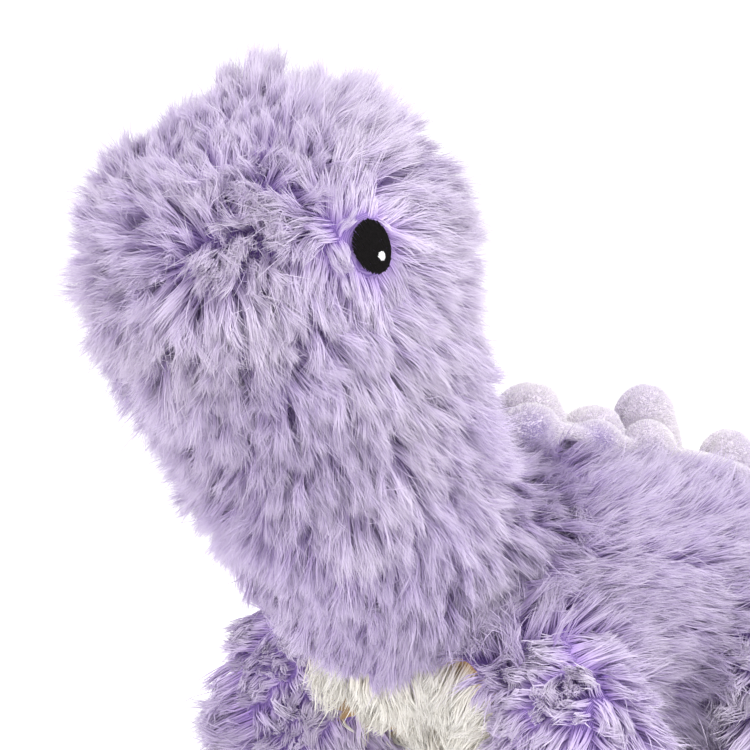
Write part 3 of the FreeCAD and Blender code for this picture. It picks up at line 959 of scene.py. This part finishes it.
def neck_tone_and_painted_shade(points, normals):
    """Painted shade: darker than the head, most of all on the throat where it faces forwards."""
    # painted shade: darker overall, and more where the throat faces forwards
    return tone_plain(points, normals) - 0.2 - 0.24 * smoothstep(-normals[:, 1], 0.1, 0.8)


def torso_tone_and_painted_shade(points, normals):
    """Smoother than elsewhere, and a little darker as painted shade that tones down the key light on the
    body.
    """
    return 0.36 + 0.06 * TONE_WAVES.at(points)[:, 0]


def head_tone_and_painted_light(points, normals):
    """Painted light and shade: paler at the back of the head, where the key light falls, darker at the
    snout and under the jaw.
    """
    tone = tone_plain(points, normals)
    # painted light: paler towards the back of the head
    tone = tone + 0.16 * smoothstep(points[:, 1], -135 * MM, -95 * MM)
    # painted shade: darker low on the head, under the jaw
    return tone + 0.08 - 0.26 * smoothstep(SKULL[2] - points[:, 2], 10 * MM, 45 * MM)


# ---------------------------------------------------------------- eyes


def eye_axes(side):
    """Outward, upward and forward directions of an eye; its top leans towards the snout."""
    outward = unit(np.array([SIDES[side], 0.0, 0.0]) + (EYES[side] - SKULL) * np.array([0.0, 5.0, 5.0]))
    upward = unit(np.array([0.0, -math.sin(EYE_LEAN), math.cos(EYE_LEAN)]))
    upward = unit(upward - outward * (upward @ outward))
    along = np.cross(outward, upward)
    return outward, upward, along


def thread_rows(name, side, half_along, half_up, centre, lift, pitch, seed, material):
    """Upright rows of satin stitches side by side that fill an egg shape, uneven at their ends."""
    rng = np.random.default_rng(seed)
    outward, upward, along = eye_axes(side)
    points, faces = [], []
    for row in range(int(2 * half_along / pitch)):
        u = -half_along + pitch * (row + 0.5)
        span = half_up * math.sqrt(max(0.0, 1 - (u / half_along) ** 2))
        parts = max(1, round(2 * span / STITCH))
        breaks = np.linspace(-span, span, parts + 1)
        breaks[1:-1] += rng.normal(size=parts - 1) * 0.12 * STITCH
        breaks[0] -= abs(rng.normal()) * 0.6 * pitch
        breaks[-1] += abs(rng.normal()) * 0.6 * pitch
        for first, last in zip(breaks[:-1], breaks[1:]):
            add_stitch(points, faces, u, (first, last), pitch, (half_along, half_up), rng)
    points = np.array(points)
    egg = 1 + 0.10 * points[:, 1:2] / half_up
    world = (
        EYES[side]
        + (points[:, :1] * egg + centre[0]) * along
        + (points[:, 1:2] + centre[1]) * upward
        + (lift + points[:, 2:]) * outward
    )
    mesh = mesh_from(name, world, faces)
    mesh.shade_smooth()
    mesh.materials.append(material)
    return add_object(name, mesh)


def add_stitch(points, faces, u, ends, pitch, half, rng):
    """One stitch: a thin half-round thread that dips into the cloth at both ends."""
    around, steps = 5, 6
    slope = rng.normal() * 0.2 * pitch
    radius = pitch * 0.62
    base = len(points)
    for step in range(steps + 1):
        share = step / steps
        v = ends[0] + (ends[1] - ends[0]) * share
        dome = EYE_DOME * math.sqrt(max(0.0, 1 - (u / half[0]) ** 2 - (v / half[1]) ** 2))
        arch = 0.4 + 0.6 * math.sin(math.pi * share) ** 0.5
        for turn in range(around):
            angle = math.pi * turn / (around - 1)
            across = math.cos(angle) * radius + slope * share
            points.append((u + across, v, dome + math.sin(angle) * radius * arch))
    for step in range(steps):
        for turn in range(around - 1):
            a = base + step * around + turn
            faces.append((a, a + 1, a + around + 1, a + around))


def make_eyes():
    """Black oval eyes with a small white highlight, both in thread, riding on the head."""
    black = thread_material("black_thread", linear(3, 2, 3), linear(20, 16, 18), 0.9)
    white = thread_material("white_thread", linear(225, 225, 230), linear(250, 250, 252), 0.5)
    for number, side in enumerate(EYES):
        centre = (GLINT_FORWARD * SIDES[side], GLINT_UP)
        eye = thread_rows(f"eye_{side}_thread", side, *EYE_HALF, (0.0, 0.0), 0.0, 0.40 * MM, number, black)
        glint = thread_rows(
            f"eye_{side}_glint_thread", side, *GLINT_HALF, centre, 0.5 * MM, 0.34 * MM, 9 + number, white
        )
        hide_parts(f"eye_{side}")
        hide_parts(f"eye_glint_{side}")
        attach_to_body(eye, "head")
        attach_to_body(glint, "head")


# ---------------------------------------------------------------- crest


def ellipsoid_points(centre, half, rings, around):
    """Points and faces of an ellipsoid."""
    points, faces = [], []
    for ring in range(rings + 1):
        polar = math.pi * ring / rings
        for turn in range(around):
            angle = 2 * math.pi * turn / around
            local = (math.sin(polar) * math.cos(angle), math.sin(polar) * math.sin(angle), math.cos(polar))
            points.append([c + h * value for c, h, value in zip(centre, half, local)])
    for ring in range(rings):
        for turn in range(around):
            a = ring * around + turn
            b = ring * around + (turn + 1) % around
            faces.append((a, b, b + around, a + around))
    return points, faces


def add_lumps(item, lumps, rings=24, around=36):
    """Adds ellipsoids, each a centre and half sizes, to an object's mesh."""
    points = [tuple(vertex.co) for vertex in item.data.vertices]
    faces = [tuple(polygon.vertices) for polygon in item.data.polygons]
    for centre, half in lumps:
        more_points, more_faces = ellipsoid_points(centre, half, rings, around)
        start = len(points)
        points += more_points
        faces += [[start + index for index in face] for face in more_faces]
    item.data = mesh_from(item.name, points, faces)


def soft_union(name, lumps, voxel, rounds):
    """Overlapping ellipsoids united and smoothed into one soft form."""
    item = add_object(name, bpy.data.meshes.new(name))
    add_lumps(item, lumps)
    remesh(item, voxel)
    return relax(item, rounds)


def pinch_seam(item, depth):
    """The seam that joins the left and the right layer runs round the middle as a narrow groove."""
    points, normals = points_of(item.data), normals_of(item.data)
    groove = np.exp(-(points[:, 0] / (0.7 * MM)) ** 2)
    points = points - normals * (depth * groove)[:, None]
    set_points(item, points)


def velour_fuzz(name, item, look, seed):
    """Very short dense pile, brushed slightly backwards."""
    rng = np.random.default_rng(seed)
    piece = (item, points_of(item.data), normals_of(item.data))
    count = int(area_of(piece) * 1e6 * VELOUR_DENSITY)
    root, normal = sample_skin(piece, count, rng)
    shown = normal[:, 2] > -0.3
    root, normal, count = root[shown], normal[shown], int(shown.sum())
    lean = unit(normal + 0.22 * rng.normal(size=root.shape) + 0.3 * BACK)
    side = unit(np.cross(lean, rng.normal(size=root.shape))) * (0.13 * MM)
    tip = root + lean * (VELOUR_LENGTH * rng.uniform(0.7, 1.1, count))[:, None]
    strands = np.stack([root - side, root + side, tip], axis=1)
    tones = np.clip(velour_tone_and_painted_shade(root, normal) + 0.12 * rng.normal(size=count), 0.02, 0.98)
    fuzz = add_object(name, ribbon_mesh(name, strands, tones, 1))
    fuzz.data.materials.append(look)
    return fuzz


def spike_boxes(prefix):
    """Middle of the foot and half sizes of each spike, by node name."""
    places = {}
    for node in sorted(frame["nodes"]):
        if node.startswith(prefix):
            low, high = box_of(node)
            places[node] = ((low + high) / 2 * [1, 1, 0] + low * [0, 0, 1], (high - low) / 2)
    return places


def velour_tone_and_painted_shade(points, normals):
    """Pale velour with painted shade: darker spots beside the foot of each spike."""
    tone = 0.88 + 0.08 * TONE_WAVES.at(points)[:, 1]
    for foot, half in list(spike_boxes("back_spike").values()) + list(spike_boxes("tail_spike").values()):
        for sign in (1.0, -1.0):
            # painted shade: a darker spot on each side of the spike's foot
            shade_spot = foot + np.array([sign * (half[0] + 4 * MM), -1.1 * half[1], 0.0])
            tone = tone - 0.75 * np.exp(-((np.linalg.norm(points - shade_spot, axis=1) / (6 * MM)) ** 2))
    return tone


def velour_piece(item, node, body, velour, fuzz_look, seed):
    """Gives a velour form its cloth and short pile, and makes both ride on a body."""
    item.data.shade_smooth()
    item.data.materials.append(velour)
    fuzz = velour_fuzz(f"{node}_pile", item, fuzz_look, seed)
    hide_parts(node)
    for part in (item, fuzz):
        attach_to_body(part, body)


def make_crest():
    """Stuffed velour spikes on a puffed strip along the back, and more spikes on the tail."""
    velour = knit_material("velour_ground", linear(226, 216, 232), linear(240, 235, 240), 700.0, 0.25)
    # the darker ramp shows mainly in the painted shade spots beside the spikes
    fuzz_look = pile_material(
        "velour_pile",
        [(0.0, linear(166, 138, 212)), (0.5, linear(188, 168, 224)), (1.0, linear(208, 194, 232))],
        [(0.0, linear(238, 232, 238)), (0.5, linear(246, 242, 244)), (1.0, linear(252, 250, 250))],
        0.4,
    )
    for body, prefix in (("torso", "back_spike"), ("tail", "tail_spike")):
        for number, (node, (foot, half)) in enumerate(spike_boxes(prefix).items()):
            wide, long, tall = 1.2 * half[0], 1.3 * half[1], 2 * half[2] + 1.5 * MM
            lumps = [
                (foot, (wide, 0.95 * long, 0.8 * tall)),
                (foot + [0, 0, 0.50 * tall], (0.85 * wide, 0.74 * long, 0.50 * tall)),
            ]
            spike = soft_union(f"{node}_velour", lumps, 1.0 * MM, 4)
            pinch_seam(spike, 0.8 * MM)
            velour_piece(spike, node, body, velour, fuzz_look, 60 + number)
    strip = joined_nodes("back_strip_velour", ["back_strip"])
    lumps = []
    for foot, half in spike_boxes("back_spike").values():
        for sign in (1.0, -1.0):
            side = foot + np.array([sign * 1.0 * half[0], -0.7 * half[1], -1.0 * MM])
            lumps.append((side, (1.0 * half[0], 1.05 * half[1], 0.8 * half[2] + 5 * MM)))
    add_lumps(strip, lumps)
    remesh(strip, 1.2 * MM)
    relax(strip, 6)
    velour_piece(strip, "back_strip", "torso", velour, fuzz_look, 70)


# ---------------------------------------------------------------- soles


def make_soles():
    """A flat cloth sole under each foot, edge-stitched in lavender thread."""
    cloth = knit_material("sole_cloth", linear(214, 202, 178), linear(240, 232, 212), 520.0, 0.5)
    thread = thread_material("sole_thread", linear(150, 124, 190), linear(196, 176, 220), 0.7)
    for name in LEGS:
        node = f"leg_{name}_sole"
        sole = joined_nodes(f"{node}_cloth", [node])
        remesh(sole, 1.3 * MM)
        relax(sole, 4)
        low, high = box_of(node)
        middle, half = (low + high) / 2, SOLE_TUCK * (high - low) / 2
        tucked = middle + (points_of(sole.data) - middle) * [SOLE_TUCK, SOLE_TUCK, 1.0]
        set_points(sole, tucked)
        sole.data.shade_smooth()
        sole.data.materials.append(cloth)
        stitches = add_object(f"{node}_stitches", bpy.data.meshes.new(f"{node}_stitches"))
        lumps = []
        for number in range(SOLE_STITCHES):
            angle = 2 * math.pi * number / SOLE_STITCHES
            around = np.array([math.cos(angle), math.sin(angle), 0.0])
            lumps.append((middle * [1, 1, 0] + 0.84 * half * around + [0, 0, 0.55 * MM], STITCH_HALF))
        add_lumps(stitches, lumps, rings=6, around=8)
        stitches.data.shade_smooth()
        stitches.data.materials.append(thread)
        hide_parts(node)
        for part in (sole, stitches):
            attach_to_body(part, f"leg_{name}")


# ---------------------------------------------------------------- the toy


def attach(item, region):
    """Makes a torso or belly piece ride on the torso; any other piece keeps its place, with its transform
    applied to its mesh.
    """
    if region in ("torso", "belly"):
        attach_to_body(item, "torso")
    elif region == "neck":
        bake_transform(item)
    elif region == "head":
        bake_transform(item)
    elif region == "tail":
        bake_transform(item)
    else:
        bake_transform(item)


def replaced_nodes(region):
    """The CAD nodes that a region's skin stands for."""
    names = {
        "head": ["head_cover_left", "head_cover_right", "head_stuffing"],
        "neck": ["neck_cover_left", "neck_cover_right", "neck_stuffing"],
        "torso": ["body_cover_left", "body_cover_right", "body_stuffing"],
        "belly": ["belly_cover"],
        "tail": ["tail_cover_left", "tail_cover_right", "tail_stuffing"],
    }
    return names.get(region, [f"{region}_cover", f"{region}_stuffing"])


def make_toy():
    """Skin and pile of every region."""
    # painted shade: the lavender backing is darker than the pile so that gaps between tufts read as shadow
    lavender_cloth_painted_shade = knit_material("lavender_backing_painted_shade", linear(120, 92, 165), linear(168, 145, 205))
    tan_cloth = knit_material("tan_backing", linear(176, 140, 96), linear(214, 184, 140))
    lavender = pile_material(
        "lavender_pile",
        [(0.0, linear(189, 156, 229)), (0.35, linear(200, 178, 227)), (1.0, linear(212, 202, 226))],
        [(0.0, linear(207, 181, 237)), (0.35, linear(218, 204, 234)), (1.0, linear(228, 221, 234))],
    )
    cream = pile_material(
        "cream_pile",
        [(0.0, linear(216, 190, 150)), (0.3, linear(240, 233, 222)), (1.0, linear(248, 246, 241))],
        [(0.0, linear(228, 208, 176)), (0.3, linear(248, 244, 236)), (1.0, linear(253, 252, 248))],
    )
    pieces = cut_skin(make_skin())
    plans = {
        "head": (comb_head, head_tone_and_painted_light, 17 * MM, 6.2, 0.20 * MM, 3),
        "neck": (comb_neck, neck_tone_and_painted_shade, 16 * MM, 5.6, 0.21 * MM, 3),
        "torso": (comb_torso, torso_tone_and_painted_shade, 17 * MM, 3.2, 0.30 * MM, 3),
        "tail": (comb_tail, tone_plain, 15 * MM, 2.0, 0.44 * MM, 3),
        "belly": (comb_belly, tone_plain, 15 * MM, 2.8, 0.36 * MM, 3),
        "leg_front_left": (comb_leg, tone_plain, 15 * MM, 2.8, 0.36 * MM, 3),
        "leg_front_right": (comb_leg, tone_plain, 15 * MM, 2.4, 0.38 * MM, 3),
    }
    leg_plan = (comb_leg, tone_plain, 15 * MM, 1.9, 0.44 * MM, 3)
    for number, (region, piece) in enumerate(sorted(pieces.items())):
        item = piece[0]
        pale = region == "belly"
        item.data.materials.append(tan_cloth if pale else lavender_cloth_painted_shade)
        look = cream if pale else lavender
        pile = grow_pile(region, piece, look, *plans.get(region, leg_plan), 100 + number)
        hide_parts(*replaced_nodes(region))
        for part in [item] + pile:
            attach(part, region)


stage_view = make_camera()
make_stage(*stage_view)
make_crest()
make_toy()
make_eyes()
make_soles()
